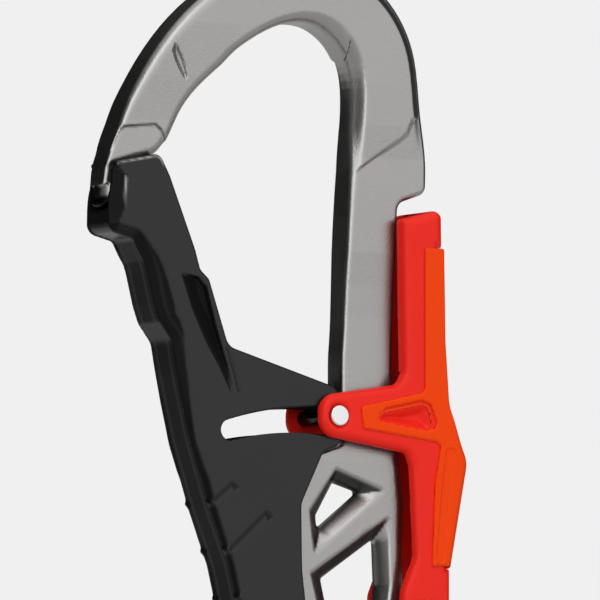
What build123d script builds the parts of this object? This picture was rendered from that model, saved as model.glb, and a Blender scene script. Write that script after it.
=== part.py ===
"""Palm-lock connector for a via ferrata lanyard.

A forged hook frame carries an inward-opening gate on its left side and a palm lever on its right
side. A steel pin in the lever rides in a slot of the gate and locks it until the lever is squeezed.

Frame of reference, in millimetres: the origin is the centre of the lanyard eye, +Z runs up the
spine to the hook, +X points to the lever, and the front face looks along -Y. The hook, the gate and
the lever are laid out from the lock pin, the eye and the two axles from the origin.
"""

import os
from math import cos, hypot, radians, sin, tan

from build123d import *

# --- places -----------------------------------------------------------------------------------
lock_x = -7.3  # lock pin, with the lever at rest
lock_z = 66.0
gate_axle_x = -14.5
gate_axle_z = 1.2
lever_axle_x = 11.1
lever_axle_z = 30.2

# --- travel -----------------------------------------------------------------------------------
gate_swing = 15.5  # degrees, inwards
lever_squeeze = 3.6  # degrees, towards the spine

# --- frame ------------------------------------------------------------------------------------
web_thickness = 6.4  # lower body and the part of the spine between the gate cheeks
spine_thickness = 8.2  # spine and arch beside the raised panel
crown_thickness = 9.2  # across the raised panel of the hook
panel_margin = 1.0  # step from the edge of the hook to the raised panel
frame_edge_round = 1.5
hook_height = 82.5  # top of the hook above the lock pin
basket_height = 70.9  # underside of the hook above the lock pin
nose_tip_x = -46.0  # lowest point of the nose, from the lock pin
nose_tip_z = 35.9
web_left = -6.4  # left side of the web below the lock pin, from the pin
neck_thickness = 4.8  # neck of the nose, behind its two side lugs
lug_height = 3.9
neck_height = 3.2
slash_depth = 0.8
pocket_draft = 2.2  # how far the pocket walls lean in from the face to the middle
eye_width = 16.0
eye_height = 8.0
eye_bar = 5.5  # metal below the eye
eye_round = 1.9
frame_boss_radius = 4.6  # around the gate axle
lever_boss_radius = 4.2  # around the lever axle
spring_seat_depth = 1.7  # the boss is thinner here, to make room for the gate springs

# --- gate -------------------------------------------------------------------------------------
gate_clearance = 0.25  # between the web and each cheek
gate_cheek = 1.6
gate_wall = 2.0
gate_boss_radius = 5.4
gate_edge_round = 1.1
nose_clearance = 0.35
slot_clearance = 0.35  # around the lock pin in the slot
finger_reach = 3.9  # from the lock pin to the tip of the finger
gate_recess_depth = 0.8

# --- lever ------------------------------------------------------------------------------------
lever_clearance = 0.25  # between the gate cheeks and the lever
lever_cheek = 1.9
lever_wall = 2.0
bar_clearance = 0.45  # between the spine and the two cheeks of the upper bar
lever_edge_round = 0.9
lever_hub_radius = 5.0
arm_radius = 3.6  # around the lock pin
lever_top = 38.1  # above the lock pin
grip_thickness = 0.5
grip_wrap = 0.8  # depth of the grip over the back of the lever
grip_edge_round = 0.35

# --- pins, axles, bushes and springs ----------------------------------------------------------
lock_pin_radius = 1.5
lock_head_radius = 1.85
lock_head_height = 0.6
head_stand = 0.25  # heads stand this far out of the lever
axle_radius = 2.0
axle_clearance = 0.05
bush_wall = 0.65
bush_end_gap = 0.1
gate_head_radius = 3.4
gate_head_height = 1.0
lever_head_radius = 3.1
lever_head_height = 0.7
wire_radius = 0.4
spring_gap = 0.15  # between the coil and the faces and bush beside it
short_leg = 3.2
legs_apart = 36.0  # degrees between the two legs of a spring

# --- worked out -------------------------------------------------------------------------------
web_half = web_thickness / 2
spine_half = spine_thickness / 2
crown_half = crown_thickness / 2
gate_inner = web_half + gate_clearance
gate_outer = gate_inner + gate_cheek
lever_inner = gate_outer + lever_clearance
lever_outer = lever_inner + lever_cheek
bar_inner = spine_half + bar_clearance
grip_outer = lever_outer + grip_thickness
bush_radius = axle_radius + axle_clearance + bush_wall
boss_reach = frame_boss_radius + 0.2 + gate_wall
lock = (lock_x, lock_z)
gate_axle_at = (gate_axle_x, gate_axle_z)
lever_axle_at = (lever_axle_x, lever_axle_z)
eye_bottom = -eye_height / 2
frame_bottom = eye_bottom - eye_bar


def near(place, corners):
    """Corners given from a place, as corners of the drawing plane."""
    return [(place[0] + x, place[1] + z, *rest) for x, z, *rest in corners]


def between(a, b):
    """The direction from one point to another."""
    return (b[0] - a[0], b[1] - a[1])


def shifted(corners, dx):
    return [(x + dx, z, *rest) for x, z, *rest in corners]


def turned(point, centre, angle):
    """A point turned clockwise about a centre, seen from the front."""
    x = point[0] - centre[0]
    z = point[1] - centre[1]
    c = cos(radians(angle))
    s = sin(radians(angle))
    return (centre[0] + x * c + z * s, centre[1] - x * s + z * c)


def inset(corners, depth):
    """Corners of a convex outline, drawn clockwise, moved inwards by a depth."""
    moved = []
    for before, here, after in zip(corners[-1:] + corners[:-1], corners, corners[1:] + corners[:1]):
        a = Vector(here[0] - before[0], here[1] - before[1]).normalized()
        b = Vector(after[0] - here[0], after[1] - here[1]).normalized()
        middle = Vector(a.Y + b.Y, -a.X - b.X).normalized()
        reach = depth / (middle.X * a.Y - middle.Y * a.X)
        moved.append((here[0] + reach * middle.X, here[1] + reach * middle.Y, *here[2:]))
    return moved


def rounded_face(corners, mode=Mode.ADD):
    """A face from corners (x, z, radius)."""
    with BuildLine() as line:
        FilletPolyline(*[(x, z) for x, z, r in corners], radius=[r for x, z, r in corners], close=True)
    make_face(line.edges(), mode=mode)


def rim_edges(part):
    """The edges around the front and back faces."""
    ends = part.faces().sort_by(Axis.Y)
    return ends[0].edges() + ends[-1].edges()


# --- frame ------------------------------------------------------------------------------------
# Radii about the gate axle of the nose: its tip, the top of its side lugs and the top of its neck.
# They are arcs about the axle, so the gate leaves the nose along them.
tip_radius = hypot(lock_x + nose_tip_x - gate_axle_x, lock_z + nose_tip_z - gate_axle_z)
lug_radius = tip_radius + lug_height
neck_radius = lug_radius + neck_height

nose = [(nose_tip_x, nose_tip_z, 1.0), (-40.7, 38.5, 1.0), (-40.2, 43.0, 1.2)]
arch_inside = [(-35.9, 46.0), (-30.7, 54.1), (-23.3, 62.0), (-15.0, 68.0), (-6.4, basket_height)]
arch_inside += [(0.0, 69.4), (4.2, 65.5), (5.7, 60.0), (5.5, 51.0), (4.7, 37.5), (4.1, 26.0), (3.5, 14.0)]
arch_inside += [(3.2, 5.0)]
arch_outside = [(20.4, 44.2), (19.2, 56.0), (17.6, 67.0), (9.9, 78.0), (-6.0, hook_height)]
arch_outside += [(-22.5, 77.2), (-33.5, 67.4), (-39.8, 58.1), (-43.5, 50.5), (-45.5, 45.0), (-46.2, 40.0)]
boss_left = gate_axle_x - frame_boss_radius - lock_x
boss_corner = gate_axle_z + frame_boss_radius * tan(radians(gate_swing / 2)) - lock_z
web_corner = boss_corner + (web_left - boss_left) / tan(radians(gate_swing))
hub_top = lever_axle_z + lever_boss_radius - lock_z
hub_right = lever_axle_x + lever_boss_radius - lock_x
foot = frame_bottom - lock_z
body = [
    (3.2, -4.6, 2.0),
    (web_left, -8.0, 2.5),
    (web_left, web_corner, 6.0),
    (boss_left, boss_corner, frame_boss_radius),
    (boss_left, foot, 8.0),
    (hub_right - 1.6, foot, 9.5),
    (hub_right, hub_top - 9.0, 6.0),
    (hub_right, hub_top, lever_boss_radius - 0.1),
    (16.4, hub_top, 1.8),
    (16.8, -15.0, 8.0),
    (15.4, -2.0, 10.0),
    (13.6, 8.0, 20.0),
    (14.5, 39.0, 2.0),
    (20.3, 41.0, 1.8),
]
upper_pocket = [(1.3, -9.3, 1.0), (11.9, -12.9, 1.0), (-4.3, -26.2, 1.0), (-4.3, -17.0, 1.5)]
lower_pocket = [(12.6, -17.0, 1.0), (12.9, -30.0, 3.0), (9.8, -51.5, 1.5), (2.6, -51.5, 1.5)]
lower_pocket += [(-4.0, -28.6, 1.2)]
diagonal_step = [(5.0, 43.9), (10.9, 48.8), (15.7, 52.3), (17.6, 54.0), (24.0, 57.5)]
above_hook = [(30.0, 90.0), (-60.0, 90.0)]
left_step = [(-52.0, 44.0), (-45.0, 46.3), (-42.8, 50.4), (-36.1, 51.0), (-34.0, 48.0)]
slash = [(-32.1, 66.2), (-30.3, 62.6), (-29.6, 59.6), (-30.2, 58.0), (-32.5, 63.8)]


def neck_band():
    """The band between the side lugs and the shoulder of the nose."""
    with Locations(gate_axle_at):
        Circle(neck_radius)
        Circle(lug_radius, mode=Mode.SUBTRACT)
    with Locations((lock_x + nose_tip_x, lock_z + nose_tip_z)):
        Rectangle(28, 40, mode=Mode.INTERSECT)


def hook_curves():
    """The underside of the hook, from the nose to the web, and its outside, from the spine over."""
    inside = Spline(
        *near(lock, arch_inside),
        tangents=[between(nose[-1], arch_inside[0]), between(arch_inside[-1], body[0])],
    )
    outside = Spline(
        *near(lock, arch_outside),
        tangents=[between(body[-1], arch_outside[0]), between(arch_outside[-1], nose[0])],
    )
    return inside, outside


def beside(curve, depth, count=14):
    """Points along a curve, moved to its left by a depth."""
    points = []
    for i in range(count):
        here = curve @ (i / (count - 1))
        along = curve % (i / (count - 1))
        points.append((here.X - depth * along.Y, here.Y + depth * along.X))
    return points


def panel_face():
    """The raised panel: the hook less a margin, above the two steps."""
    with BuildLine() as line:
        inside, outside = hook_curves()
    with BuildLine() as rim:
        lower = Spline(*beside(inside, panel_margin))
        upper = Spline(*beside(outside, panel_margin))
        Line(lower @ 1, upper @ 0)
        Line(upper @ 1, lower @ 0)
    make_face(rim.edges())
    with BuildLine() as line:
        Polyline(*near(lock, diagonal_step + above_hook + left_step), close=True)
    make_face(line.edges(), mode=Mode.INTERSECT)


def frame_face():
    with BuildLine() as line:
        inside, outside = hook_curves()
        lower = near(lock, body)
        FilletPolyline(
            inside @ 1, *[c[:2] for c in lower], outside @ 0, radius=[c[2] for c in lower]
        )
        tip = near(lock, nose)
        FilletPolyline(
            outside @ 1, *[c[:2] for c in tip], inside @ 0, radius=[c[2] for c in tip]
        )
    make_face(line.edges())


def side_cut(profile, x_from, x_to):
    """Thins the plate on both faces, from the profile (half thickness, height) outwards."""
    beyond = crown_thickness
    outer = [(beyond, profile[-1][1]), (beyond, profile[0][1])]
    with BuildSketch(Plane.YZ.offset(x_from)) as slab:
        with BuildLine():
            Polyline(*profile, *outer, close=True)
        make_face()
        mirror(about=Plane.YZ)
    extrude(slab.sketch, amount=x_to - x_from, mode=Mode.SUBTRACT)


def pocket(corners):
    """A window whose walls lean in from both faces to the middle of the web."""
    window = inset(corners, pocket_draft)
    for side in (1, -1):
        with BuildSketch(Plane.XZ) as middle:
            rounded_face(window)
        with BuildSketch(Plane.XZ.offset(side * web_half)) as face:
            rounded_face(corners)
        loft([middle.sketch.face(), face.sketch.face()], mode=Mode.SUBTRACT)


with BuildPart() as frame:
    with BuildSketch(Plane.XZ):
        frame_face()
    extrude(amount=spine_half, both=True)
    fillet(rim_edges(frame.part), frame_edge_round)
    # The spine thins down to the web, and the arch to the nose
    taper = [(web_half, frame_bottom - 10), (web_half, lock_z + 15), (spine_half, lock_z + 44)]
    side_cut(taper, lock_x - 22, lock_x + 60)
    nose_taper = [(web_half, lock_z + 20), (web_half, lock_z + 45), (spine_half, lock_z + 51)]
    side_cut(nose_taper, lock_x - 60, lock_x - 22)
    # Raised panel of the hook
    with BuildSketch(Plane.XZ):
        panel_face()
    extrude(amount=crown_half, both=True)
    # Neck of the nose: both faces are cut back between two arcs about the gate axle
    for side in (1, -1):
        with BuildSketch(Plane.XZ.offset(side * neck_thickness / 2)):
            neck_band()
        extrude(amount=side * crown_half, mode=Mode.SUBTRACT)
        with BuildSketch(Plane.XZ.offset(side * (crown_half - slash_depth))):
            with BuildLine():
                Polyline(*near(lock, slash), close=True)
            make_face()
        extrude(amount=side * crown_half, mode=Mode.SUBTRACT)
    pocket(near(lock, upper_pocket))
    pocket(near(lock, lower_pocket))
    # Lanyard eye, with rounded edges for the webbing
    with BuildSketch(Plane.XZ):
        SlotOverall(eye_width, eye_height)
    extrude(amount=web_thickness, both=True, mode=Mode.SUBTRACT)
    eye_rim = frame.part.edges().filter_by(
        lambda e: abs(abs(e.center().Y) - web_half) < 0.01
        and hypot(e.center().X, e.center().Z) < eye_width * 0.55
        and abs(e.center().Z) < eye_height * 0.55
    )
    fillet(eye_rim, eye_round)
    # Seats of the gate springs and the two bush bores
    for side in (1, -1):
        with BuildSketch(Plane.XZ.offset(side * (web_half - spring_seat_depth))):
            with Locations(gate_axle_at):
                Circle(gate_boss_radius)
        extrude(amount=side * web_half, mode=Mode.SUBTRACT)
    with BuildSketch(Plane.XZ):
        with Locations(gate_axle_at, lever_axle_at):
            Circle(bush_radius)
    extrude(amount=web_thickness, both=True, mode=Mode.SUBTRACT)


# --- gate -------------------------------------------------------------------------------------
gate_left = [
    (-20.9, -27.0, 12.0),
    (-25.0, -16.8, 12.0),
    (-28.9, -5.0, 15.0),
    (-33.1, 12.4, 3.0),
    (-35.7, 15.8, 2.0),
    (-38.4, 26.4, 3.0),
]
axle_from_lock = (gate_axle_x - lock_x, gate_axle_z - lock_z)
boss = near(
    axle_from_lock,
    [
        (gate_boss_radius, -gate_boss_radius, gate_boss_radius - 0.1),
        (-boss_reach, -gate_boss_radius, gate_boss_radius - 0.1),
        (-boss_reach, 10.0, 15.0),
    ],
)
gate_head = [(-40.6, 30.6, 1.5), (-45.6, 31.9, 2.0), (-46.0, 38.0, 8.0), (-45.5, 44.1, 1.6)]
gate_head += [(-35.6, 46.3, 1.8)]
gate_right = [
    (-27.3, 25.5, 1.5),
    (-25.4, 24.0, 1.5),
    (-21.4, 12.1, 2.5),
    (0.6, 5.5, 3.0),
    (finger_reach + 0.3, -0.4, 3.0),
    (1.2, -5.6, 2.5),
    (-1.8, -6.7, 2.0),
    (-6.3, -16.0, 4.0),
    (-6.1, -28.0, 12.0),
    (-3.4, -50.0, 12.0),
]
gate_outline = boss + gate_left + gate_head + gate_right
channel_left = near(axle_from_lock, [(-boss_reach, -20.0, 0.0), (-boss_reach, 10.0, 15.0)]) + gate_left
channel = shifted(channel_left, gate_wall) + [(-33.0, 28.0, 1.0), (-14.0, 30.0, 0.0)]
channel += [(30.0, 5.0, 0.0), (30.0, -80.0, 0.0)]
gate_recess = [(-31.6, 24.6), (-30.5, 24.0), (-27.4, 23.0), (-21.6, 4.0), (-23.4, 6.2)]
gate_recess += [(-26.6, 12.4), (-29.4, 19.2)]

half_way = turned(turned(lock, lever_axle_at, -lever_squeeze / 2), gate_axle_at, -gate_swing / 2)
unlocked = turned(turned(lock, lever_axle_at, -lever_squeeze), gate_axle_at, -gate_swing)


def neck_pocket(clearance, low, high):
    """Room for the nose in the head of the gate, between two radii about the gate axle."""
    with Locations(gate_axle_at):
        Circle(high)
        Circle(low, mode=Mode.SUBTRACT)
    room = [(-60.0, 20.0), (nose[1][0] + clearance, 20.0), (nose[2][0] + clearance, nose[2][1])]
    room += [(-35.2, 46.2), (-35.2, 60.0), (-60.0, 60.0)]
    with BuildLine() as line:
        Polyline(*near(lock, room), close=True)
    make_face(line.edges(), mode=Mode.INTERSECT)


with BuildPart() as gate:
    with BuildSketch(Plane.XZ):
        rounded_face(near(lock, gate_outline))
    extrude(amount=gate_outer, both=True)
    fillet(rim_edges(gate.part), gate_edge_round)
    # The channel that straddles the web
    with BuildSketch(Plane.XZ):
        rounded_face(near(lock, channel))
    extrude(amount=gate_inner, both=True, mode=Mode.SUBTRACT)
    # The mouth in the head: wide for the lugs of the nose and above its neck, narrow at the neck
    bands = [
        (gate_inner, tip_radius - nose_clearance, lug_radius + nose_clearance),
        (neck_thickness / 2 + nose_clearance, lug_radius, neck_radius),
        (gate_inner, neck_radius - nose_clearance, neck_radius + 20),
    ]
    for half_width, low, high in bands:
        with BuildSketch(Plane.XZ):
            neck_pocket(nose_clearance, low, high)
        extrude(amount=half_width, both=True, mode=Mode.SUBTRACT)
    # Slot for the lock pin, bores for the axle and a recess in each cheek
    with BuildSketch(Plane.XZ):
        with BuildLine() as path:
            ThreePointArc(lock, half_way, unlocked)
        SlotArc(path.edges()[0], 2 * (lock_pin_radius + slot_clearance))
        with Locations(gate_axle_at):
            Circle(axle_radius)
    extrude(amount=gate_outer, both=True, mode=Mode.SUBTRACT)
    for side in (1, -1):
        with BuildSketch(Plane.XZ.offset(side * (gate_outer - gate_recess_depth))):
            with BuildLine():
                Polyline(*near(lock, gate_recess), close=True)
            make_face()
        extrude(amount=side * gate_recess_depth, mode=Mode.SUBTRACT)

# --- lever ------------------------------------------------------------------------------------
hub_from_lock = (lever_axle_x - lock_x, lever_axle_z - lock_z)
lever_back = [
    (21.9, lever_top, 1.5),
    (22.2, 14.0, 10.0),
    (23.0, 2.5, 8.0),
    (27.0, -7.6, 5.0),
]
hub = near(
    hub_from_lock,
    [
        (lever_hub_radius, 9.0, 3.0),
        (lever_hub_radius, -lever_hub_radius, lever_hub_radius - 0.1),
        (-lever_hub_radius, -lever_hub_radius, lever_hub_radius - 0.1),
        (-lever_hub_radius, lever_hub_radius - 0.6, 3.0),
    ],
)
lever_front = [
    (16.1, -25.0, 4.0),
    (15.3, -8.8, 2.0),
    (14.4, -6.3, 1.5),
    (2.0, -4.3, 4.0),
    (-arm_radius, -arm_radius, arm_radius - 0.1),
    (-arm_radius, arm_radius, arm_radius - 0.1),
    (12.4, 6.0, 1.5),
    (13.7, 8.4, 2.0),
    (13.3, lever_top - 2.2, 1.0),
]
lever_outline = lever_back + hub + lever_front
seat_top = 31.0  # the grip ends here, above the lock pin
seat_bottom = -27.0
grip_back = lever_back[1:] + [(23.4, seat_bottom, 0.5)]
grip_strip = [(19.1, seat_bottom, 0.8), (19.7, -12.0, 6.0), (21.0, -4.6, 0.8)]
grip_arm = [(4.9, -2.4, 0.8), (4.2, 1.8, 1.0), (17.6, 4.8, 1.0), (17.6, seat_top, 0.6)]
grip_outline = [(21.95, seat_top, 0.5)] + grip_back + grip_strip + grip_arm
arm_window = [(8.0, 0.1, 0.3), (9.6, 1.4, 0.5), (17.2, 3.0, 0.8), (18.8, 2.5, 0.5), (20.1, -0.6, 0.5)]
arm_window += [(19.6, -1.6, 0.4), (16.6, -1.8, 0.8)]
seat = [(21.95 - grip_wrap, seat_top, 0.0)] + shifted(grip_back, -grip_wrap)[:-1]
seat += [(23.4 - grip_wrap, seat_bottom, 0.0), (40.0, seat_bottom, 0.0), (40.0, seat_top, 0.0)]
cavity_back = shifted(lever_back[1:], -lever_wall)
cavity = [(-30.0, 60.0, 0.0), (lever_back[0][0] - lever_wall, 60.0, 0.0)] + cavity_back
cavity += [(22.0, -29.5, 3.0), (40.0, -29.5, 0.0), (40.0, -80.0, 0.0), (-30.0, -80.0, 0.0)]
bar_foot = 8.2  # above this the cheeks close in on the spine


def lever_plate():
    """The lever with its back cut down under the grip."""
    rounded_face(near(lock, lever_outline))
    rounded_face(near(lock, seat), mode=Mode.SUBTRACT)


with BuildPart() as lever_body:
    with BuildSketch(Plane.XZ):
        rounded_face(near(lock, lever_outline))
    extrude(amount=lever_outer, both=True)
    fillet(rim_edges(lever_body.part), lever_edge_round)
    with BuildSketch(Plane.XZ):
        rounded_face(near(lock, seat))
    extrude(amount=lever_outer, both=True, mode=Mode.SUBTRACT)
    # Room between the cheeks: narrow beside the spine, wide beside the gate
    with BuildSketch(Plane.XZ):
        rounded_face(near(lock, cavity))
    extrude(amount=bar_inner, both=True, mode=Mode.SUBTRACT)
    with BuildSketch(Plane.XZ):
        rounded_face(near(lock, cavity))
        with Locations((lock_x, lock_z + bar_foot - 50)):
            Rectangle(200, 100, mode=Mode.INTERSECT)
    extrude(amount=lever_inner, both=True, mode=Mode.SUBTRACT)
    # Bores for the lock pin and the axle, with seats for their heads
    with BuildSketch(Plane.XZ):
        with Locations(lock):
            Circle(lock_pin_radius)
        with Locations(lever_axle_at):
            Circle(axle_radius)
    extrude(amount=lever_outer, both=True, mode=Mode.SUBTRACT)
    heads = [
        (lock, lock_head_radius, lock_head_height),
        (lever_axle_at, lever_head_radius, lever_head_height),
    ]
    for place, radius, height in heads:
        for side in (1, -1):
            with BuildSketch(Plane.XZ.offset(side * (lever_outer + head_stand - height))):
                with Locations(place):
                    Circle(radius)
            extrude(amount=side * height, mode=Mode.SUBTRACT)

with BuildPart() as lever_grip:
    with BuildSketch(Plane.XZ):
        rounded_face(near(lock, grip_outline))
        rounded_face(near(lock, arm_window), mode=Mode.SUBTRACT)
    extrude(amount=grip_outer, both=True)
    fillet(rim_edges(lever_grip.part), grip_edge_round)
    with BuildSketch(Plane.XZ):
        lever_plate()
    extrude(amount=lever_outer, both=True, mode=Mode.SUBTRACT)


# --- pins, axles and bushes -------------------------------------------------------------------
def headed_pin(place, radius, head_radius, under_head, end):
    """A pin across the part, with a head formed at each end."""
    with BuildSketch(Plane.XZ) as shank:
        with Locations(place):
            Circle(radius)
    extrude(shank.sketch, amount=under_head, both=True)
    for side in (1, -1):
        with BuildSketch(Plane.XZ.offset(side * under_head)) as head:
            with Locations(place):
                Circle(head_radius)
        extrude(head.sketch, amount=side * (end - under_head))


with BuildPart() as lock_pin:
    lock_end = lever_outer + head_stand
    headed_pin(lock, lock_pin_radius, lock_head_radius, lock_end - lock_head_height, lock_end)
    fillet(rim_edges(lock_pin.part), lock_head_height * 0.4)

with BuildPart() as gate_axle:
    headed_pin(gate_axle_at, axle_radius, gate_head_radius, gate_outer, gate_outer + gate_head_height)
    fillet(rim_edges(gate_axle.part), gate_head_height * 0.7)

with BuildPart() as lever_axle:
    axle_end = lever_outer + head_stand
    headed_pin(lever_axle_at, axle_radius, lever_head_radius, axle_end - lever_head_height, axle_end)
    fillet(rim_edges(lever_axle.part), lever_head_height * 0.5)


def bush(place, half_length):
    with BuildSketch(Plane.XZ) as ring:
        with Locations(place):
            Circle(bush_radius)
            Circle(axle_radius + axle_clearance, mode=Mode.SUBTRACT)
    extrude(ring.sketch, amount=half_length, both=True)


with BuildPart() as gate_bush:
    bush(gate_axle_at, gate_inner - bush_end_gap)

with BuildPart() as lever_bush:
    bush(lever_axle_at, lever_inner - bush_end_gap)


# --- springs ----------------------------------------------------------------------------------
coil_radius = bush_radius + spring_gap + wire_radius
wire_pitch = wire_radius * 1.9
leg_radius = wire_radius * 0.9


def leg(start, direction, length):
    with BuildSketch(Plane(start, z_dir=direction)) as wire:
        Circle(leg_radius)
    extrude(wire.sketch, amount=length)


def torsion_spring(place, face, side, leave, turn, long_leg):
    """Two turns about an axle, standing on a face of the web, with a leg from each.

    The long leg leaves the coil at an angle from +X; turn is 1 for a coil that winds
    anticlockwise towards it, seen from the front, and -1 for one that winds clockwise.
    """
    ends = [(leave - turn * legs_apart, -turn, short_leg), (leave, turn, long_leg)]
    for i, (angle, way, length) in enumerate(ends):
        y = -side * (face + spring_gap + wire_radius + wire_pitch * i)
        with Locations((place[0], y, place[1])):
            Torus(coil_radius, wire_radius, rotation=(90, 0, 0))
        c = cos(radians(angle))
        s = sin(radians(angle))
        leg((place[0] + coil_radius * c, y, place[1] + coil_radius * s), (-way * s, 0, way * c), length)


seat_face = web_half - spring_seat_depth
with BuildPart() as gate_spring_front:
    torsion_spring(gate_axle_at, seat_face, 1, 190, -1, 6.0)

with BuildPart() as gate_spring_back:
    torsion_spring(gate_axle_at, seat_face, -1, 190, -1, 6.0)

with BuildPart() as lever_spring_front:
    torsion_spring(lever_axle_at, web_half, 1, 8, 1, 7.0)

with BuildPart() as lever_spring_back:
    torsion_spring(lever_axle_at, web_half, -1, 8, 1, 7.0)


pieces = {
    "frame": frame,
    "gate": gate,
    "lever_body": lever_body,
    "lever_grip": lever_grip,
    "lock_pin": lock_pin,
    "gate_axle": gate_axle,
    "lever_axle": lever_axle,
    "gate_bush": gate_bush,
    "lever_bush": lever_bush,
    "gate_spring_front": gate_spring_front,
    "gate_spring_back": gate_spring_back,
    "lever_spring_front": lever_spring_front,
    "lever_spring_back": lever_spring_back,
}
os.makedirs("parts", exist_ok=True)
for label, piece in pieces.items():
    piece.part.label = label
    export_step(piece.part, f"parts/{label}.step")
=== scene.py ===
"""The looks of a palm-lock via-ferrata carabiner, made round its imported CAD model."""

import bpy
import numpy as np
from mathutils import Matrix, Vector


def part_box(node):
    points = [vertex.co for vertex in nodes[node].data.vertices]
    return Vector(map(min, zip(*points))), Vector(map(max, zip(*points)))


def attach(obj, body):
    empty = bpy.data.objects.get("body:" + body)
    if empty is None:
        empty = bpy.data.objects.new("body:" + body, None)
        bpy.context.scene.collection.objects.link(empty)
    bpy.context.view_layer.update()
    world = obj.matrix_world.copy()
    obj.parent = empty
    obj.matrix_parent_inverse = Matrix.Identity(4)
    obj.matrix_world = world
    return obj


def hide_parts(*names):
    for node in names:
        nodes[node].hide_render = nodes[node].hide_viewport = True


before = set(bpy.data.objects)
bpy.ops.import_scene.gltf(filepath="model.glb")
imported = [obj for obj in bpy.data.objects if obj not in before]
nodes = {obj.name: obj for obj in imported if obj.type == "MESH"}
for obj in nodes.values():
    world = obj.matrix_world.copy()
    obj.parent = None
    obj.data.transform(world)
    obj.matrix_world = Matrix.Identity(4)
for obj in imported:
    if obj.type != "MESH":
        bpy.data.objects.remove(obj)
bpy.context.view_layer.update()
LOCK = Vector((-0.0073, 0.0, 0.0660))  # middle of the lock pin


# --- camera ---------------------------------------------------------------------------------
CAMERA_AWAY = 2.4  # metres from the object
FOCAL_LENGTH = 800  # millimetres on a 36 mm sensor, so nearly without perspective


def place_camera():
    """A camera in front of the object, round to its left and a little below it."""
    right = Vector((0.8660, -0.5, 0.0))
    up = Vector((-0.0349, -0.0604, 0.9976))
    back = right.cross(up).normalized()
    target = LOCK - 0.00356 * right + 0.02116 * up  # the middle of the picture
    data = bpy.data.cameras.new("camera")
    data.sensor_width = 36
    data.lens = FOCAL_LENGTH
    data.clip_start = 0.01
    data.clip_end = 20
    camera = bpy.data.objects.new("camera", data)
    turned = Matrix((right, back.cross(right), back)).transposed().to_4x4()
    camera.matrix_world = Matrix.Translation(target + CAMERA_AWAY * back) @ turned
    bpy.context.scene.collection.objects.link(camera)
    bpy.context.scene.camera = camera


place_camera()


# --- studio ---------------------------------------------------------------------------------
BACKDROP = (0.871, 0.871, 0.871)  # what the camera sees behind the object
AMBIENT = 0.006
OVERHEAD = 1.1
OVERHEAD_RISE = (38, 68)  # degrees up between which it fades in
# A wide box in front, a second one that makes its left part brighter, and a faint one behind.
# Each has its sides by turn and its ends by rise, in degrees: fades in from, to; fades out from, to
SOFT_BOXES = [
    ((17, 45), (130, 160), (-22, -4), (50, 75), 1.3),
    ((20, 46), (50, 85), (-15, 0), (60, 85), 1.22),
    ((-170, -145), (-140, -110), (-20, 0), (40, 70), 0.2),
]
DEGREES = 57.2958  # in a radian


def studio_world():
    """Soft light by direction, and a plain backdrop for the camera."""
    world = bpy.data.worlds.new("studio")
    bpy.context.scene.world = world
    world.use_nodes = True
    tree = world.node_tree
    tree.nodes.clear()

    def link(value, socket):
        """Puts a number or another node's output into a socket."""
        if isinstance(value, (int, float)):
            socket.default_value = value
        else:
            tree.links.new(value, socket)

    def maths(operation, a, b=0.0):
        node = tree.nodes.new("ShaderNodeMath")
        node.operation = operation
        link(a, node.inputs[0])
        link(b, node.inputs[1])
        return node.outputs[0]

    def ramp(value, low, high):
        """Rises smoothly from 0 to 1 between two values."""
        node = tree.nodes.new("ShaderNodeMapRange")
        node.interpolation_type = "SMOOTHSTEP"
        link(value, node.inputs["Value"])
        node.inputs["From Min"].default_value = low
        node.inputs["From Max"].default_value = high
        return node.outputs["Result"]

    coords = tree.nodes.new("ShaderNodeTexCoord")
    parts = tree.nodes.new("ShaderNodeSeparateXYZ")
    tree.links.new(coords.outputs["Generated"], parts.inputs["Vector"])
    x, y, z = (parts.outputs[i] for i in range(3))
    # Turn: degrees round from the left side by the front to the right side. Rise: degrees up
    turn = maths("ARCTAN2", maths("MULTIPLY", y, -1), maths("MULTIPLY", x, -1))
    turn = maths("MULTIPLY", turn, DEGREES)
    rise = maths("MULTIPLY", maths("ARCSINE", z), DEGREES)

    def box(turn_from, turn_to, rise_from, rise_to, strength):
        """A soft box: each side and each end of it fades over its two angles."""
        sides = maths("MULTIPLY", ramp(turn, *turn_from), maths("SUBTRACT", 1, ramp(turn, *turn_to)))
        ends = maths("MULTIPLY", ramp(rise, *rise_from), maths("SUBTRACT", 1, ramp(rise, *rise_to)))
        return maths("MULTIPLY", maths("MULTIPLY", sides, ends), strength)

    total = AMBIENT
    for soft_box in SOFT_BOXES:
        total = maths("ADD", total, box(*soft_box))
    total = maths("ADD", total, maths("MULTIPLY", ramp(rise, *OVERHEAD_RISE), OVERHEAD))
    seen = tree.nodes.new("ShaderNodeBackground")
    seen.inputs["Color"].default_value = (*BACKDROP, 1)
    lit = tree.nodes.new("ShaderNodeBackground")
    tree.links.new(total, lit.inputs["Strength"])
    ray = tree.nodes.new("ShaderNodeLightPath")
    mix = tree.nodes.new("ShaderNodeMixShader")
    tree.links.new(ray.outputs["Is Camera Ray"], mix.inputs[0])
    tree.links.new(lit.outputs[0], mix.inputs[1])
    tree.links.new(seen.outputs[0], mix.inputs[2])
    out = tree.nodes.new("ShaderNodeOutputWorld")
    tree.links.new(mix.outputs[0], out.inputs["Surface"])


studio_world()
scene = bpy.context.scene
scene.view_settings.view_transform = "Standard"
scene.view_settings.look = "None"

FLOOR_HALF = 2.5  # metres
FLOOR_DROP = 0.10  # metres under the foot of the object


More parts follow.
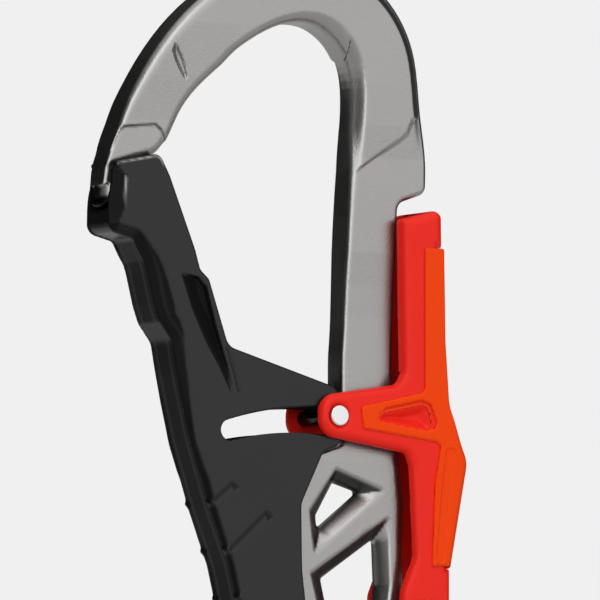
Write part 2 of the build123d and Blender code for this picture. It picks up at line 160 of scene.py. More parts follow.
def pale_floor():
    """A plain pale square under the object."""
    mesh = bpy.data.meshes.new("floor")
    r, z = FLOOR_HALF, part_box("frame")[0][2] - FLOOR_DROP
    mesh.from_pydata([(-r, -r, z), (r, -r, z), (r, r, z), (-r, r, z)], [], [(0, 1, 2, 3)])
    floor = bpy.data.objects.new("floor", mesh)
    scene.collection.objects.link(floor)
    pale = bpy.data.materials.new("pale_floor")
    pale.use_nodes = True
    shader = pale.node_tree.nodes["Principled BSDF"]
    shader.inputs["Base Color"].default_value = (0.8, 0.8, 0.8, 1)
    shader.inputs["Roughness"].default_value = 0.8
    mesh.materials.append(pale)
    return floor


floor = pale_floor()


# --- materials ------------------------------------------------------------------------------
GRAIN_SCALE = 3000  # fine noise, for the bump
SLOW_SCALE = 90  # slow noise, for the colour and the roughness
GRAIN_HEIGHT = 0.0001


def material(name, colour, roughness, metallic=0.0, grain=0.0, mottle=0.0, specular=0.5):
    """A finish with fine grain in its bump, and slow changes in colour and roughness."""
    made = bpy.data.materials.new(name)
    made.use_nodes = True
    tree = made.node_tree
    shader = tree.nodes["Principled BSDF"]
    shader.inputs["Metallic"].default_value = metallic
    shader.inputs["Specular IOR Level"].default_value = specular
    coords = tree.nodes.new("ShaderNodeTexCoord")
    slow = tree.nodes.new("ShaderNodeTexNoise")
    slow.inputs["Scale"].default_value = SLOW_SCALE
    slow.inputs["Detail"].default_value = 6
    fine = tree.nodes.new("ShaderNodeTexNoise")
    fine.inputs["Scale"].default_value = GRAIN_SCALE
    fine.inputs["Detail"].default_value = 3
    for noise in (slow, fine):
        tree.links.new(coords.outputs["Object"], noise.inputs["Vector"])
    ramp = tree.nodes.new("ShaderNodeMapRange")
    ramp.inputs["To Min"].default_value = roughness * 0.85
    ramp.inputs["To Max"].default_value = roughness * 1.15
    tree.links.new(slow.outputs["Fac"], ramp.inputs["Value"])
    tree.links.new(ramp.outputs["Result"], shader.inputs["Roughness"])
    mix = tree.nodes.new("ShaderNodeMix")
    mix.data_type = "RGBA"
    mix.inputs["A"].default_value = (*[c * (1 - mottle) for c in colour], 1)
    mix.inputs["B"].default_value = (*[min(1, c * (1 + mottle)) for c in colour], 1)
    tree.links.new(slow.outputs["Fac"], mix.inputs["Factor"])
    tree.links.new(mix.outputs["Result"], shader.inputs["Base Color"])
    bump = tree.nodes.new("ShaderNodeBump")
    bump.inputs["Strength"].default_value = grain
    bump.inputs["Distance"].default_value = GRAIN_HEIGHT
    tree.links.new(fine.outputs["Fac"], bump.inputs["Height"])
    tree.links.new(bump.outputs["Normal"], shader.inputs["Normal"])
    return made


def mix_in(finish, amount, colour):
    """Turns the base colour of a finish to another colour by an amount from a socket."""
    tree = finish.node_tree
    base = tree.nodes["Principled BSDF"].inputs["Base Color"]
    mix = tree.nodes.new("ShaderNodeMix")
    mix.data_type = "RGBA"
    tree.links.new(base.links[0].from_socket, mix.inputs["A"])
    mix.inputs["B"].default_value = (*colour, 1)
    tree.links.new(amount, mix.inputs["Factor"])
    tree.links.new(mix.outputs["Result"], base)


def attribute(finish, name):
    """The socket that gives an attribute of the mesh."""
    node = finish.node_tree.nodes.new("ShaderNodeAttribute")
    node.attribute_name = name
    return node.outputs["Fac"]


FACE_GLOSS, FLANK_GLOSS = 0.43, 0.06


def dull_flanks(finish):
    """The finish loses most of its gloss where the attribute flank is 1."""
    tree = finish.node_tree
    dull = tree.nodes.new("ShaderNodeMapRange")
    dull.inputs["To Min"].default_value = FACE_GLOSS
    dull.inputs["To Max"].default_value = FLANK_GLOSS
    tree.links.new(attribute(finish, "flank"), dull.inputs["Value"])
    tree.links.new(dull.outputs["Result"], tree.nodes["Principled BSDF"].inputs["Specular IOR Level"])


# The lock pin's shank gets painted shade up to these depths, and its heads stay bright
SHANK_ENDS = (0.0058, 0.0064)  # metres from the middle plane, between which it turns bright


def paint_shank_shade(finish):
    """The lock pin is bright at its two heads, and painted shade darkens its shank inside the gate and
    the lever.
    """
    tree = finish.node_tree
    coords = tree.nodes.new("ShaderNodeTexCoord")
    parts = tree.nodes.new("ShaderNodeSeparateXYZ")
    tree.links.new(coords.outputs["Object"], parts.inputs["Vector"])
    across = tree.nodes.new("ShaderNodeMath")
    across.operation = "ABSOLUTE"
    tree.links.new(parts.outputs["Y"], across.inputs[0])
    shank = tree.nodes.new("ShaderNodeMapRange")
    shank.inputs["From Min"].default_value = SHANK_ENDS[0]
    shank.inputs["From Max"].default_value = SHANK_ENDS[1]
    shank.inputs["To Min"].default_value = 1.0
    shank.inputs["To Max"].default_value = 0.0
    tree.links.new(across.outputs[0], shank.inputs["Value"])
    mix_in(finish, shank.outputs["Result"], (0.02, 0.02, 0.02))


forged = material("forged_aluminium", (0.405, 0.4, 0.392), 0.31, metallic=1.0, grain=0.35, mottle=0.06)
# Painted shade darkens the frame where its mesh attribute says: the lug's end and the walls of the
# windows
mix_in(forged, attribute(forged, "painted_shade"), (0.012, 0.012, 0.012))
black = material("black_anodised", (0.007, 0.007, 0.0075), 0.30, grain=0.06, mottle=0.1)
dull_flanks(black)
# A painted highlight: the base colour turns light grey along the edges of the gate's head
mix_in(black, attribute(black, "painted_highlight"), (0.4, 0.4, 0.4))
red = material("red_anodised", (0.90, 0.018, 0.008), 0.36, grain=0.06, mottle=0.04, specular=0.2)
orange = material("orange_plastic", (0.95, 0.062, 0.003), 0.45, grain=0.12, mottle=0.03, specular=0.08)
bright = material("bright_steel", (0.8, 0.8, 0.8), 0.18, metallic=1.0, grain=0.05)
# Painted shade along the lock pin's shank
paint_shank_shade(bright)
steel = material("brushed_steel", (0.55, 0.55, 0.56), 0.3, metallic=1.0, grain=0.1)
bronze = material("bronze", (0.5, 0.35, 0.15), 0.35, metallic=1.0, grain=0.1)
FINISHES = {
    "frame": forged,
    "gate": black,
    "lever_body": red,
    "lever_grip": orange,
    "lock_pin": bright,
    "gate_axle": steel,
    "lever_axle": steel,
    "gate_bush": bronze,
    "lever_bush": bronze,
}
for name, node in nodes.items():
    node.data.materials.clear()
    node.data.materials.append(FINISHES.get(name, steel))


# --- forms ----------------------------------------------------------------------------------
# Each large piece is made as a smooth solid from the outline that its CAD node has at a few depths:
# distances are in millimetres, negative inside, and the surface is where the distance is zero.
# Corners and heights in the tables are given from the lock pin, and depths from the middle plane.
STEP = 0.16  # between the grid points of a field
MIDDLE = 0.03  # depth of a section that stands for the middle plane
LX, LZ = LOCK.x * 1000, LOCK.z * 1000
AXLE = (-14.5, 1.2)  # gate axle


def box_of(node):
    """Lowest and highest corner of a CAD node, in millimetres."""
    lo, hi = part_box(node)
    return np.array(lo) * 1000, np.array(hi) * 1000


class Plane2D:
    """Distances over the X-Z plane round a node, sampled between grid points."""

    def __init__(self, node, margin=3.0):
        lo, hi = box_of(node)
        self.x = np.arange(lo[0] - margin, hi[0] + margin, STEP)
        self.z = np.arange(lo[2] - margin, hi[2] + margin, STEP)

    def grid(self):
        """X and Z of every grid point."""
        return np.meshgrid(self.x, self.z, indexing="ij")

    def sample(self, field, x, z):
        """A field's values at any places, read between its grid points."""
        fx = np.clip((x - self.x[0]) / STEP, 0, len(self.x) - 1.001)
        fz = np.clip((z - self.z[0]) / STEP, 0, len(self.z) - 1.001)
        i, k = fx.astype(np.int32), fz.astype(np.int32)
        fx, fz = fx - i, fz - k
        low = field[i, k] * (1 - fx) + field[i + 1, k] * fx
        high = field[i, k + 1] * (1 - fx) + field[i + 1, k + 1] * fx
        return low * (1 - fz) + high * fz

    def distance(self, segments, signed=True, reach=6.0):
        """Distance to outlines given as segments, up to a reach. Closed ones can have it signed."""
        best = np.full((len(self.x), len(self.z)), reach)
        flips = np.zeros((len(self.x) + 1, len(self.z)), np.int32)
        for a, b in segments:
            i0, i1 = np.searchsorted(self.x, (min(a[0], b[0]) - reach, max(a[0], b[0]) + reach))
            k0, k1 = np.searchsorted(self.z, (min(a[1], b[1]) - reach, max(a[1], b[1]) + reach))
            gx, gz = self.x[i0:i1, None] - a[0], self.z[None, k0:k1] - a[1]
            d = b - a
            t = np.clip((gx * d[0] + gz * d[1]) / max(d @ d, 1e-12), 0, 1)
            away = np.hypot(gx - t * d[0], gz - t * d[1])
            best[i0:i1, k0:k1] = np.minimum(best[i0:i1, k0:k1], away)
            k0, k1 = np.searchsorted(self.z, (min(a[1], b[1]), max(a[1], b[1])))
            if k1 > k0:
                cross = a[0] + d[0] * (self.z[k0:k1] - a[1]) / d[1]
                np.add.at(flips, (np.searchsorted(self.x, cross), np.arange(k0, k1)), 1)
        if not signed:
            return best
        inside = np.cumsum(flips, axis=0)[:-1] % 2 == 1
        return np.where(inside, -best, best)

    def away_from(self, line):
        """Distance to an open line whose corners are given from the lock pin."""
        return self.distance(outline(line, closed=False), signed=False)


def triangles(node):
    """The corners of a CAD node's triangles, in millimetres."""
    mesh = nodes[node].data
    mesh.calc_loop_triangles()
    points = np.empty(len(mesh.vertices) * 3)
    mesh.vertices.foreach_get("co", points)
    corners = np.empty(len(mesh.loop_triangles) * 3, np.int32)
    mesh.loop_triangles.foreach_get("vertices", corners)
    return points.reshape(-1, 3)[corners.reshape(-1, 3)] * 1000


def section(node, depth):
    """The outline of a node at a depth from its middle plane, as segments."""
    p = triangles(node)
    s = p[:, :, 1] - depth
    above = s > 0
    hit = above.any(1) & ~above.all(1)
    p, s, above = p[hit], s[hit], above[hit]
    lone = np.where(above.sum(1) == 1, above.argmax(1), (~above).argmax(1))
    i = np.arange(len(p))
    ends = []
    for k in (1, 2):
        other = (lone + k) % 3
        t = (s[i, lone] / (s[i, lone] - s[i, other]))[:, None]
        ends.append((p[i, lone] + (p[i, other] - p[i, lone]) * t)[:, [0, 2]])
    segments = np.stack(ends, 1)
    return segments[np.hypot(*(segments[:, 0] - segments[:, 1]).T) > 1e-5]


def without_loop(segments, x, z, largest=30):
    """The segments less the closed loop, no wider than the largest, whose box holds a point."""
    group = np.arange(len(segments))
    owner = {}
    for i, pair in enumerate(np.round(segments, 3)):
        for end in map(tuple, pair):
            if end in owner:
                group[group == group[i]] = group[owner[end]]
            owner[end] = i
    keep = np.ones(len(segments), bool)
    for g in np.unique(group):
        points = segments[group == g].reshape(-1, 2)
        lo, hi = points.min(0), points.max(0)
        if lo[0] < x < hi[0] and lo[1] < z < hi[1] and hi[0] - lo[0] < largest:
            keep[group == g] = False
    return segments[keep]


def outline(corners, closed=True):
    """Segments of an outline whose corners are given from the lock pin."""
    points = np.array(corners, float) + (LX, LZ)
    after = np.roll(points, -1, 0)
    segments = np.stack([points, after], 1)
    return segments if closed else segments[:-1]


def smooth_max(a, b, k):
    """The larger of two distances, with the edge where they meet softened over k."""
    h = np.maximum(k - np.abs(a - b), 0) / k
    return np.maximum(a, b) + h * h * k * 0.25


def cut_out(f, *hole):
    """A form less a hole, which is where all the distances given for it are negative."""
    inside = hole[0]
    for distance in hole[1:]:
        inside = np.maximum(inside, distance)
    return np.maximum(f, -inside)


def rounded(d, s, r):
    """A plate from its outline d and its depth s, with its rim rounded to r."""
    a, b = d + r, s + r
    return np.hypot(np.maximum(a, 0), np.maximum(b, 0)) + np.minimum(np.maximum(a, b), 0) - r


def step_up(d, width):
    """0 where d is well below 0, 1 where it is well above, with a soft edge of that width."""
    t = np.clip(d / width + 0.5, 0, 1)
    return t * t * (3 - 2 * t)


def ridge_at(d, width):
    """1 where d is 0, and nearly 0 where it is more than twice the width away."""
    return np.exp(-((d / width) ** 2))


def from_axle(x, z):
    """Distance from the gate axle."""
    return np.hypot(x - AXLE[0], z - AXLE[1])


def facing_left(field, least=0.1, width=1.0):
    """1 where the nearest rim faces left, 0 where it faces right."""
    gx = np.gradient(field, STEP, axis=0)
    return step_up(-gx - least, width)


def between(v, pairs):
    """A value read off a line of (place, value) pairs."""
    return np.interp(v, *zip(*pairs))


def surface_nets(form, lo, hi, cell):
    """Points and quads of the surface of a form, one point in each cell that it crosses."""
    axes = [np.arange(a - 2 * cell, b + 3 * cell, cell) for a, b in zip(lo, hi)]
    shape = tuple(len(a) for a in axes)
    values = np.empty(shape, np.float32)
    for i, x in enumerate(axes[0]):
        y, z = np.meshgrid(axes[1], axes[2], indexing="ij")
        values[i] = form(np.full_like(y, x), y, z)
    inside = values < 0
    corners = [(i, j, k) for i in (0, 1) for j in (0, 1) for k in (0, 1)]
    cut = [slice(None, -1), slice(1, None)]
    # In each cell that has corners on both sides, the mean of where the surface cuts its edges
    count = sum(inside[cut[i], cut[j], cut[k]].astype(np.int8) for i, j, k in corners)
    ci, cj, ck = np.nonzero((count > 0) & (count < 8))
    total = np.zeros((len(ci), 3))
    hits = np.zeros(len(ci))
    for a in corners:
        for axis in range(3):
            if a[axis]:
                continue
            b = tuple(1 if n == axis else v for n, v in enumerate(a))
            va = values[ci + a[0], cj + a[1], ck + a[2]].astype(float)
            vb = values[ci + b[0], cj + b[1], ck + b[2]].astype(float)
            cross = (va < 0) != (vb < 0)
            t = np.where(cross, va / np.where(cross, va - vb, 1), 0)
            point = np.array(a, float)[None, :] + np.eye(3)[axis][None, :] * t[:, None]
            total += point * cross[:, None]
            hits += cross
    place = np.stack([ci, cj, ck], 1) + total / hits[:, None]
    verts = place * cell + np.array([a[0] for a in axes])
    number = np.full(tuple(n - 1 for n in shape), -1, np.int32)
    number[ci, cj, ck] = np.arange(len(ci))
    # A quad round each cut edge, from the points of the four cells that share it, facing outwards
    quads = []
    for axis in range(3):
        first = [slice(None)] * 3
        second = [slice(None)] * 3
        first[axis], second[axis] = slice(None, -1), slice(1, None)
        a, b = inside[tuple(first)], inside[tuple(second)]
        e = np.stack(np.nonzero(a != b), 1)
        u, v = [(1, 2), (2, 0), (0, 1)][axis]
        e = e[(e[:, u] > 0) & (e[:, v] > 0) & (e[:, u] < shape[u] - 1) & (e[:, v] < shape[v] - 1)]
        out = a[tuple(e.T)]
        ring = []
        for du, dv in ((0, 0), (-1, 0), (-1, -1), (0, -1)):
            c = e.copy()
            c[:, u] += du
            c[:, v] += dv
            ring.append(number[tuple(c.T)])
        ring = np.stack(ring, 1)
        ring[~out] = ring[~out][:, ::-1]
        quads.append(ring)
    quads = np.concatenate(quads)
    return verts, quads


ROUNDS = 4  # of moving the points on to the surface
LARGEST_MOVE = 0.3  # of a cell, in each round
LEAST_SLOPE = 0.08  # squared, so that no point is thrown far where a form is nearly flat
SLOPE_REACH = 0.08


def mesh_of(name, form, node, cell, finish, marks=None):
    """The surface of a form as a mesh: surface nets, then each point moved on to the surface."""
    verts, quads = surface_nets(form, *box_of(node), cell)

    def slope(p, e=SLOPE_REACH):
        g = [form(*(p + d).T) - form(*(p - d).T) for d in np.eye(3) * e]
        return np.stack(g, 1) / (2 * e)

    for _ in range(ROUNDS):
        g = slope(verts)
        size = np.maximum((g * g).sum(1), LEAST_SLOPE)
        move = -form(*verts.T)[:, None] * g / size[:, None]
        verts += np.clip(move, -LARGEST_MOVE * cell, LARGEST_MOVE * cell)
    g = slope(verts)
    normals = g / np.maximum(np.linalg.norm(g, axis=1), 1e-9)[:, None]
    mesh = bpy.data.meshes.new(name)
    mesh.vertices.add(len(verts))
    mesh.vertices.foreach_set("co", (verts / 1000).ravel())
    mesh.loops.add(quads.size)
    mesh.loops.foreach_set("vertex_index", quads.ravel().astype(np.int32))
    mesh.polygons.add(len(quads))
    mesh.polygons.foreach_set("loop_start", np.arange(0, quads.size, 4, dtype=np.int32))
    mesh.update(calc_edges=True)
    mesh.validate()
    mesh.polygons.foreach_set("use_smooth", np.ones(len(mesh.polygons), bool))
    mesh.normals_split_custom_set_from_vertices(normals.tolist())
    mesh.materials.append(finish)
    if marks:
        for key, values in marks(*verts.T, normals[:, 2]).items():
            mesh.attributes.new(key, "FLOAT", "POINT").data.foreach_set("value", values)
    made = bpy.data.objects.new(name, mesh)
    bpy.context.scene.collection.objects.link(made)
    return made


# --- frame ----------------------------------------------------------------------------------
# The two windows of the spine, each by its mouth on the faces and its throat in the middle plane
UPPER_MOUTH = [(1.8, -9.8), (10.8, -13.1), (-2.6, -24.0), (-3.4, -17.0)]
UPPER_THROAT = [(2.6, -12.3), (6.5, -13.5), (-0.5, -19.1), (-0.6, -17.9)]
LOWER_MOUTH = [(12.2, -18.4), (12.5, -30.0), (9.5, -51.0), (2.9, -51.0), (-3.2, -28.4)]
LOWER_THROAT = [(10.5, -22.5), (10.9, -30.0), (8.2, -48.8), (5.0, -48.8), (0.5, -29.3)]
WINDOWS = [(UPPER_MOUTH, UPPER_THROAT), (LOWER_MOUTH, LOWER_THROAT)]
WINDOW_CORNER = 0.5  # radius
WINDOW_DEPTH = 3.2  # at which the walls have come from the throat to the mouth
WINDOW_FLARE = 1.6  # exponent: the walls lean out more and more towards the face
WALL_LEAN = 0.83  # from a distance across to one square to a leaning wall
# The raised face of the hook and the upper spine, with a lower margin along the spine's outer rim
PANEL = [(5.2, 43.9), (6.2, 45.0), (10.2, 47.7), (14.3, 50.3), (16.0, 51.7), (17.0, 54.0), (24.0, 57.5)]
PANEL += [(30.0, 90.0), (-60.0, 90.0), (-52.0, 44.0), (-44.9, 46.2), (-43.0, 50.0), (-42.1, 50.7)]
PANEL += [(-35.9, 51.3), (-34.7, 50.4), (-33.0, 47.5)]
PANEL_RISE = 0.55
MARGIN = 1.5  # width
MARGIN_SOFT = 1.7  # width of its blend into the face
MARGIN_DROP = 0.35
# The slanting cut in the faces of the hook: it is deeper away from its left side
SLASH = [(-31.9, 67.1), (-32.5, 65.7), (-32.8, 64.6), (-32.3, 63.1), (-31.4, 61.4), (-30.5, 59.9)]
SLASH += [(-29.9, 59.5), (-29.7, 60.2), (-30.0, 61.4), (-30.6, 63.2), (-31.5, 64.8), (-32.0, 65.9)]
SLASH_LEFT = SLASH[:7]
SLASH_SLOPE = 0.75
SLASH_DEPTH = 0.6
# By height: half thickness, small moves of the spine's inner rim, and radius of rims that face left
SPINE_HALF = [(-8, 3.2), (0, 2.95), (18, 2.95), (24, 3.1), (30, 3.4)]
SPINE_HALF += [(41, 3.5), (47, 3.5), (53, 3.8), (60, 3.9)]
HOOK_HALF = [(44, 3.0), (52, 3.0), (60, 3.4), (70, 3.8)]
SPINE_SHIFT = [(0, 0.2), (24, 0.35), (45, 0.45), (52, 0.8), (60, 0.7)]
SPINE_RIM = [(0, 0.9), (24, 1.0), (35, 1.2), (41, 1.45), (47, 1.9), (53, 2.8)]
HOOK_RIM = [(44, 0.7), (50, 1.1), (53, 1.3), (60, 1.85), (70, 2.1)]
# Rims that face right: the hook's inside and the foot's outside are rounder than the rest
RIGHT_RIM = 0.9
INSIDE_MORE = 0.9
FOOT_MORE = 1.9
EYE_RIM = 1.9
EYE_REACH = 12  # round the middle of the lanyard eye
# The lug at the hook's end and the neck above it: they start at distances from the gate axle
TIP = (-46.0, 35.9)
TIP_REACH = float(np.hypot(TIP[0] + LX - AXLE[0], TIP[1] + LZ - AXLE[1]))
LUG_REACH = TIP_REACH + 3.9
NECK_REACH = LUG_REACH + 3.2
LUG_HALF, NECK_HALF = 3.3, 2.65
LUG_RIM = 3.1
# Painted shade on the lug's end, in the mouth of the gate's head: left of one line or below another, and
# all of it below the third
DARK_LEFT, DARK_LOW, DARK_TOP = -45.9, 38.2, 40.4
# How dark the painted shade on the walls of the windows is
WINDOW_PAINTED_SHADE = 0.85
# The seats of the gate springs: the frame's half thickness there, and their radius
SEAT_HALF, SEAT_RADIUS = 1.5, 5.4


def make_frame():
    """The forged frame: a flat spine with two windows, and a hook that ends in a lug."""
    plane = Plane2D("frame")
    gx, gz = plane.grid()
    X, Z = gx - LX, gz - LZ
    reach = from_axle(gx, gz)
    mouths = [plane.distance(outline(mouth)) - WINDOW_CORNER for mouth, _ in WINDOWS]
    throats = [plane.distance(outline(throat)) - WINDOW_CORNER for _, throat in WINDOWS]

    # The outline with its windows filled, as each window is cut with walls of its own
    core = plane.distance(section("frame", MIDDLE))
    for mouth in mouths:
        core = np.minimum(core, mouth)

    # 1 in each part of the frame, with soft edges
    left = facing_left(core)
    hook = step_up(-16 - X, 10)
    lug = step_up(LUG_REACH - reach, 0.2) * (X < -30)
    neck = step_up(NECK_REACH - reach, 1.6) * (X < -30) - lug
    tip = step_up(38.5 - Z, 3) * (X < -30)
    inner_spine = left * (1 - hook) * step_up(Z - 1, 4) * step_up(69 - Z, 8) * step_up(X + 2, 4)
    inside = step_up(Z - 45, 4) * step_up(-X + 2, 4)
    foot = step_up(-4 - Z, 8) * step_up(X - 6, 3)

    # Small moves of the rims, which the rounding of the rims calls for
    core = core - between(Z, SPINE_SHIFT) * inner_spine
    core = core - 0.45 * (1 - left) * hook * step_up(Z - 45.5, 2) * step_up(64 - Z, 4)
    core = core + 0.25 * left * hook * step_up(Z - 41, 2) * step_up(53 - Z, 6)
    core = core - 0.5 * tip * step_up(-np.gradient(core, STEP, axis=1) - 0.3, 0.5)

    height = between(Z, SPINE_HALF) * (1 - hook) + between(Z, HOOK_HALF) * hook
    margin = step_up(np.where(X > 4, core + MARGIN, -1), MARGIN_SOFT)
    panel = step_up(-plane.distance(outline(PANEL)), 0.5 + 0.5 * step_up(X - 12, 8)) * (1 - margin)
    height = height + PANEL_RISE * panel
    height = height - MARGIN_DROP * margin * step_up(Z - 50, 8)
    slash = np.minimum(SLASH_SLOPE * plane.away_from(SLASH_LEFT), SLASH_DEPTH)
    height = height - slash * step_up(-plane.distance(outline(SLASH)), 0.16)
    height = height + lug * (LUG_HALF - height) + neck * (NECK_HALF - height)

    radius = between(Z, SPINE_RIM) * (1 - hook) + between(Z, HOOK_RIM) * hook
    radius = left * radius + (1 - left) * (RIGHT_RIM + INSIDE_MORE * inside)
    radius = radius + FOOT_MORE * (1 - left) * foot
    radius = radius + lug * (LUG_RIM - radius)
    radius = np.where(np.hypot(gx, gz) < EYE_REACH, EYE_RIM, radius)
    radius = np.minimum(radius, height - 0.1)

    # Painted shade: the lug's end is darkened, and so are the walls of the windows apart from their
    # lower right ones
    painted_shade = lug * np.maximum(step_up(DARK_LEFT - X, 0.4), step_up(DARK_LOW - Z, 0.4))
    painted_shade = painted_shade * step_up(DARK_TOP - Z, 0.3)
    for mouth in mouths:
        facing = 0.6 * np.gradient(mouth, STEP, axis=0) - 0.8 * np.gradient(mouth, STEP, axis=1)
        wall = step_up(-mouth - 0.2, 0.5) * (1 - step_up(facing - 0.2, 0.5))
        painted_shade = np.maximum(painted_shade, WINDOW_PAINTED_SHADE * wall)

    def marks(x, y, z, nz):
        return {"painted_shade": plane.sample(painted_shade, x, z)}

    furthest_left = box_of("frame")[0][0]

    def form(x, y, z):
        y = np.abs(y)
        f = rounded(plane.sample(core, x, z), y - plane.sample(height, x, z), plane.sample(radius, x, z))
        t = np.clip(y / WINDOW_DEPTH, 0, 1) ** WINDOW_FLARE
        for mouth, throat in zip(mouths, throats):
            wall = plane.sample(throat, x, z) * (1 - t) + plane.sample(mouth, x, z) * t
            f = smooth_max(f, -wall * WALL_LEAN, 0.35)
        f = cut_out(f, SEAT_HALF - y, from_axle(x, z) - SEAT_RADIUS)
        return np.maximum(f, furthest_left - x)

    return mesh_of("forged_frame", form, "frame", 0.36, forged, marks)


# --- gate -----------------------------------------------------------------------------------
GATE_HALF = 5.05
GATE_RIM = 0.55  # radius
# The bevel along the edges that face left, by height
GATE_BEVEL = [(-22, 0.5), (-13, 0.9), (-6, 0.5), (-1, 0.9), (4, 1.4), (12, 1.9), (16, 3.1), (19, 3.6)]
GATE_BEVEL += [(23, 3.3), (28, 2.6), (31, 1.9), (33, 1.7), (36, 2.9), (40, 2.4)]
BEVEL_DEPTH = 1
BEVEL_LEAN = 0.95  # to a distance square to the bevel
# Small moves of the right and left edges, by height
RIGHT_SHIFT = [(24, 0.22), (29, -0.25), (42, -0.25), (46, 0.25), (48, 0.45)]
LEFT_SHIFT = [(-30, -0.15), (-12, 0.0), (-10, -0.15), (2, -0.15), (8, 0.05), (12, 0.3), (16, 0.35)]
LEFT_SHIFT += [(19, 0.05), (25, 0.1), (28, -0.2), (33, -0.2), (36, 0.05), (40, 0.6)]
# The slot that the lock pin moves along as the gate swings. Its two edges are given by their
# distances from the gate axle, by place across, and its ends in degrees round the axle
SLOT_TOP = [(-22, 65.13), (0, 66.75)]
SLOT_BOTTOM = [(-22, 61.4), (-13, 61.6), (0, 61.65)]
SLOT_ENDS = (102.9, 83.0)
SLOT_POINTS = 14
SLOT_REACH = 64
SLOT_IN_CAD = (-15, -1.5)  # a place inside the slot of the CAD node
# The long recess in each face: it is deeper away from its left side
RECESS_LEFT = [(-31.6, 24.6), (-29.2, 17.9), (-26.4, 12.3), (-23.6, 7.8), (-21.3, 3.5)]
RECESS_RIGHT = [(-27.9, 24.0), (-26.3, 22.3), (-24.2, 14.8), (-21.9, 8.0), (-20.9, 3.7)]
RECESS_SLOPE = 0.42
RECESS_DEPTH = 1.2
# Creases in the faces, with a fine one beside the recess
CREASES = [[(-24.5, -15.9), (-21.0, -13.0), (-20.2, -13.5)]]
CREASES += [[(-21.0, -24.4), (-13.9, -18.0), (-13.2, -18.7)]]
CREASE_DEPTH, CREASE_WIDTH = 0.28, 0.38
FINE_CREASE = [(-21.9, 11.5), (-20.7, 7.9), (-19.5, 3.7)]
FINE_DEPTH, FINE_WIDTH = 0.15, 0.2
# Ribs across the left edge, by height
RIBS = [-16.2, -24.6, -33.0, -41.5]
RIB_RISE, RIB_WIDTH = 0.4, 0.55
# Half widths of the channel that straddles the frame, at its narrow and its wide part
CHANNEL_HALF = 2.75
WIDE_HALF = 3.45
WIDE_AT = 3.1  # depth of a section that shows the wide part alone
# The room for the legs of the gate springs is as wide, behind an outer wall
SPRING_REACH = 8.0
OUTER_WALL = 0.8


def make_gate():
    """The black gate: a channel with two cheeks, a slot for the lock pin and a head round the lug."""
    plane = Plane2D("gate")
    gx, gz = plane.grid()
    X, Z = gx - LX, gz - LZ
    cheek = plane.distance(without_loop(section("gate", 4.0), LX + SLOT_IN_CAD[0], LZ + SLOT_IN_CAD[1]))
    middle = plane.distance(section("gate", MIDDLE))
    wide = plane.distance(section("gate", WIDE_AT))
    bevel = between(Z, GATE_BEVEL)

    # Edges that face left, and those under the head, have the bevel
    left = facing_left(cheek, 0.5, 0.3)
    below = step_up(-np.gradient(cheek, STEP, axis=1) - 0.2, 0.4) * (X < -28) * (Z > 10)
    left = np.maximum(left, below)
    cheek = cheek + between(Z, RIGHT_SHIFT) * (1 - left) + between(Z, LEFT_SHIFT) * left

    arc = np.radians(np.linspace(*SLOT_ENDS, SLOT_POINTS))
    arc_x = AXLE[0] - LX + SLOT_REACH * np.cos(arc)
    mid = (between(arc_x, SLOT_TOP) + between(arc_x, SLOT_BOTTOM)) / 2
    path = np.stack([AXLE[0] - LX + mid * np.cos(arc), AXLE[1] - LZ + mid * np.sin(arc)], 1)
    slot = plane.away_from(path) - (between(X, SLOT_TOP) - between(X, SLOT_BOTTOM)) / 2
    room = np.maximum(from_axle(gx, gz) - SPRING_REACH, cheek + OUTER_WALL)

    height = np.full_like(cheek, GATE_HALF)
    recess = plane.distance(outline(RECESS_LEFT + RECESS_RIGHT[::-1]))
    depth = np.minimum(RECESS_SLOPE * plane.away_from(RECESS_LEFT), RECESS_DEPTH)
    height = height - depth * step_up(-recess, 0.3)
    creases = plane.distance(np.concatenate([outline(c, closed=False) for c in CREASES]), signed=False)
    height = height - CREASE_DEPTH * ridge_at(creases, CREASE_WIDTH)
    height = height - FINE_DEPTH * ridge_at(plane.away_from(FINE_CREASE), FINE_WIDTH)
    for rib in RIBS:
        cheek = cheek - RIB_RISE * left * ridge_at(Z - rib, RIB_WIDTH)

    def form(x, y, z):
        y = np.abs(y)
        d = plane.sample(cheek, x, z)
        s = y - plane.sample(height, x, z)
        lean = plane.sample(left, x, z)
        slant = (d / plane.sample(bevel, x, z) + s + BEVEL_DEPTH) * BEVEL_LEAN
        slant = smooth_max(np.maximum(d, s), slant, 0.25)
        f = rounded(d, s, GATE_RIM) * (1 - lean) + slant * lean
        f = smooth_max(f, -plane.sample(slot, x, z), 0.3)
        f = cut_out(f, y - CHANNEL_HALF, -plane.sample(middle, x, z))
        f = cut_out(f, y - WIDE_HALF, plane.sample(room, x, z))
        return cut_out(f, y - WIDE_HALF, -plane.sample(wide, x, z))

    def marks(x, y, z, nz):
        """Where the gate is dull: its sides, ledges apart; and a painted highlight along the edges of
        its head.
        """
        d, lean = plane.sample(cheek, x, z), plane.sample(left, x, z)
        y, width = np.abs(y), plane.sample(bevel, x, z)
        side = np.maximum(step_up(GATE_HALF - y - 0.25, 0.4), lean * step_up(d + width - 0.1, 0.4))
        # Two lines along the side catch a little more light, below the head
        lines = ridge_at(d + 1.85, 0.3) + ridge_at(y - 2.2, 0.35)
        side = side * (1 - 0.35 * lines * lean * step_up(30 + LZ - z, 12))
        # Ledges that face down are glossy, above all those of the head
        side = side * (1 - step_up(-nz - 0.5, 0.25) * (1 - 0.4 * step_up(LZ + 30 - z, 4)))
        # The painted highlight: a thin light line along the edges of the head's faces
        edge = ridge_at(d + np.where(lean > 0.5, width, 0.45), 0.18) * step_up(y - 4.7, 0.2)
        head = step_up(z - LZ - 38, 5) * (lean + step_up(z - LZ - 44, 2))
        return {"flank": side, "painted_highlight": edge * np.minimum(head, 1)}

    return mesh_of("black_gate", form, "gate", 0.33, black, marks)


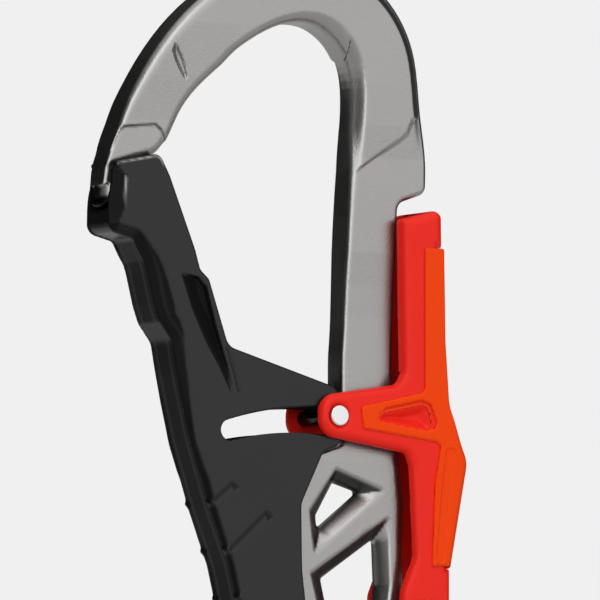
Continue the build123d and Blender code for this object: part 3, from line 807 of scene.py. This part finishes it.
# --- lever ----------------------------------------------------------------------------------
BODY_HALF = 7.2
GRIP_HALF = 7.7  # the grip stands proud of the body
GRIP_UNDER = 7.15  # and lies on it
CHEEK_AT, GRIP_AT = 6.3, 7.3  # depths of the sections through the body's cheeks and the grip
# Half widths of the gap between the cheeks, at its narrow and its wide part
NARROW_HALF = 4.55
GAP_HALF = 5.3
GAP_AT = 5.0  # depth of a section that shows the wide part alone
# The sunken field in the lever's arm, whose sides slope down from its edge
ARM_FIELD = [(7.6, -0.2), (9.0, 1.0), (17.1, 2.7), (18.5, 2.2), (19.4, -1.7), (18.2, -2.5), (8.2, -1.1)]
CARVED_SLOPE = 0.9
CARVED_DEPTH = 1.6
# The long shallow recess in the grip
PILL = [(22.9, -6.2), (21.9, -14.0), (20.9, -25.0)]
PILL_HALF = 1.0  # width
PILL_DEPTH = 0.22
# A fine ring round the head of the lock pin
RING_RADIUS, RING_HALF = 1.95, 0.22
RING_FLOOR = 6.8  # depth that it goes down to


def make_lever():
    """The red lever, two cheeks joined along the back, and the orange grip that covers its outside."""
    plane = Plane2D("lever_body")
    Z = plane.grid()[1] - LZ
    cheek = plane.distance(section("lever_body", CHEEK_AT))
    field = plane.distance(outline(ARM_FIELD))
    grip = plane.distance(section("lever_grip", GRIP_AT))
    grip = np.minimum(grip, field - 0.3)
    cheek = np.minimum(cheek, grip + 0.4)
    strip = plane.distance(section("lever_grip", MIDDLE))
    narrow = np.minimum(plane.distance(section("lever_body", MIDDLE)), strip)
    wide = np.minimum(plane.distance(section("lever_body", GAP_AT)), strip)
    recess = plane.away_from(PILL) - PILL_HALF
    back = 1 - facing_left(grip)
    grip = grip + 0.25 * back * step_up(Z + 4, 6)
    carved = np.clip(-CARVED_SLOPE * field, 0, CARVED_DEPTH)
    # The grip's back is rounder below the arm, and the body's edges are rounder above it
    grip_rim = 0.45 + 1.2 * back * step_up(-3 - Z, 6)
    body_rim = 1.5 + 0.4 * step_up(Z - 6, 6)

    def body(x, y, z):
        y = np.abs(y)
        top = np.minimum(BODY_HALF, GRIP_HALF - plane.sample(carved, x, z))
        f = rounded(plane.sample(cheek, x, z), y - top, plane.sample(body_rim, x, z))
        f = cut_out(f, y - NARROW_HALF, -plane.sample(narrow, x, z))
        f = cut_out(f, y - GAP_HALF, -plane.sample(wide, x, z))
        from_ring = np.abs(np.hypot(x - LX, z - LZ) - RING_RADIUS) - RING_HALF
        return cut_out(f, from_ring, RING_FLOOR - y)

    def cover(x, y, z):
        y = np.abs(y)
        top = GRIP_HALF - PILL_DEPTH * (1 - step_up(plane.sample(recess, x, z), 0.3))
        top = top - plane.sample(carved, x, z)
        f = rounded(plane.sample(grip, x, z), y - top, plane.sample(grip_rim, x, z))
        return cut_out(f, y - GRIP_UNDER, -plane.sample(strip, x, z))

    return (
        mesh_of("red_lever", body, "lever_body", 0.33, red),
        mesh_of("orange_grip", cover, "lever_grip", 0.3, orange),
    )


# --- pieces ---------------------------------------------------------------------------------
forged_frame = make_frame()
black_gate = make_gate()
red_lever, orange_grip = make_lever()
for made, body, stands_for, slot in (
    (forged_frame, "frame", "frame", "forged_frame"),
    (black_gate, "gate", "gate", "black_gate"),
    (red_lever, "lever", "lever_body", "red_lever"),
    (orange_grip, "lever", "lever_grip", "orange_grip"),
):
    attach(made, body)
    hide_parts(stands_for)
